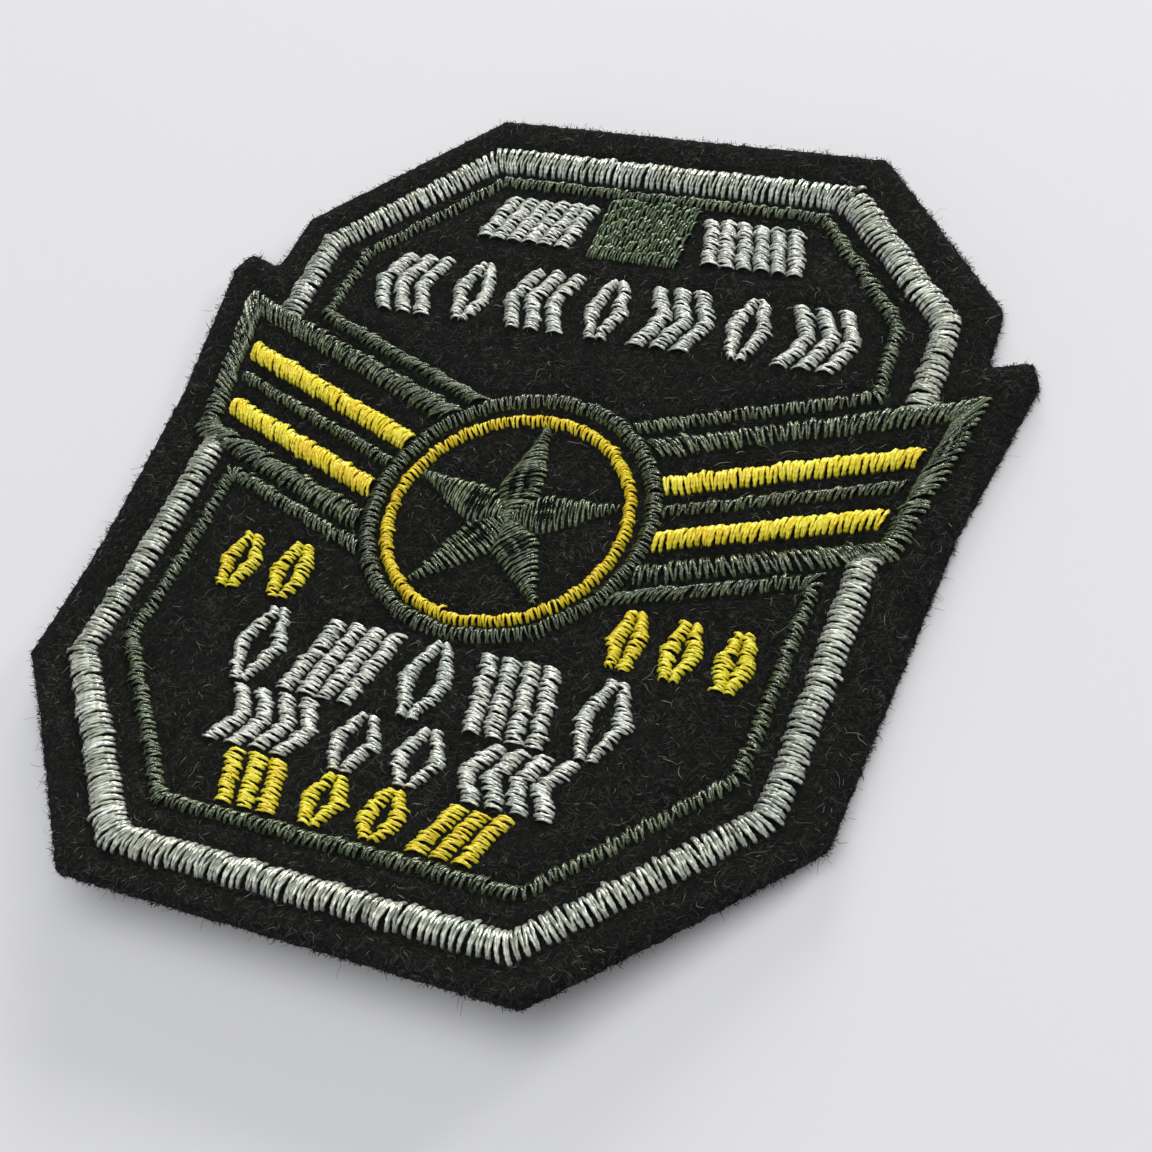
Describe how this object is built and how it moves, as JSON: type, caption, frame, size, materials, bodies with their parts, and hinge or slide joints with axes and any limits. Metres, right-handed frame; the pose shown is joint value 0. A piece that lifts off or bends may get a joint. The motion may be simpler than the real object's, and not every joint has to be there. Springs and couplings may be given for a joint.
{
  "type": "embroidered patch",
  "caption": "Dark felt patch, an octagon with two wings, satin-stitched in silver, olive and yellow round a star in two rings, its foot curled up.",
  "frame": {"origin": "middle of the patch's length and width, on its flat back", "axes": "+Z out of the embroidered face, +Y towards the head of the patch, +X to the right of someone looking at the face"},
  "size_m": [0.0866, 0.097, 0.0067],
  "materials": {
    "felt": "napped wool felt",
    "silver_thread": "glossy embroidery thread",
    "olive_thread": "glossy embroidery thread",
    "green_thread": "glossy embroidery thread",
    "yellow_thread": "glossy embroidery thread"
  },
  "bodies": {
    "root": {"felt_base": "felt", "silver_border_upper": "silver_thread", "silver_border_lower": "silver_thread", "inner_line_upper": "olive_thread", "inner_line_lower": "olive_thread", "wing_outline_left": "olive_thread", "wing_outline_right": "olive_thread", "wing_mid_line_left": "olive_thread", "wing_mid_line_right": "olive_thread", "yellow_bar_upper_left": "yellow_thread", "yellow_bar_upper_right": "yellow_thread", "yellow_bar_lower_left": "yellow_thread", "yellow_bar_lower_right": "yellow_thread", "olive_ring": "olive_thread", "yellow_ring": "yellow_thread", "star_arm_top": "olive_thread", "star_arm_upper_left": "olive_thread", "star_arm_lower_left": "olive_thread", "star_arm_lower_right": "olive_thread", "star_arm_upper_right": "olive_thread", "green_block": "green_thread", "row_top_left": "silver_thread", "row_top_right": "silver_thread", "row_upper": "silver_thread", "row_side_left": "yellow_thread", "row_side_right": "yellow_thread", "row_middle": "silver_thread", "row_lower": "silver_thread", "row_foot": "yellow_thread"}
  },
  "joints": []
}
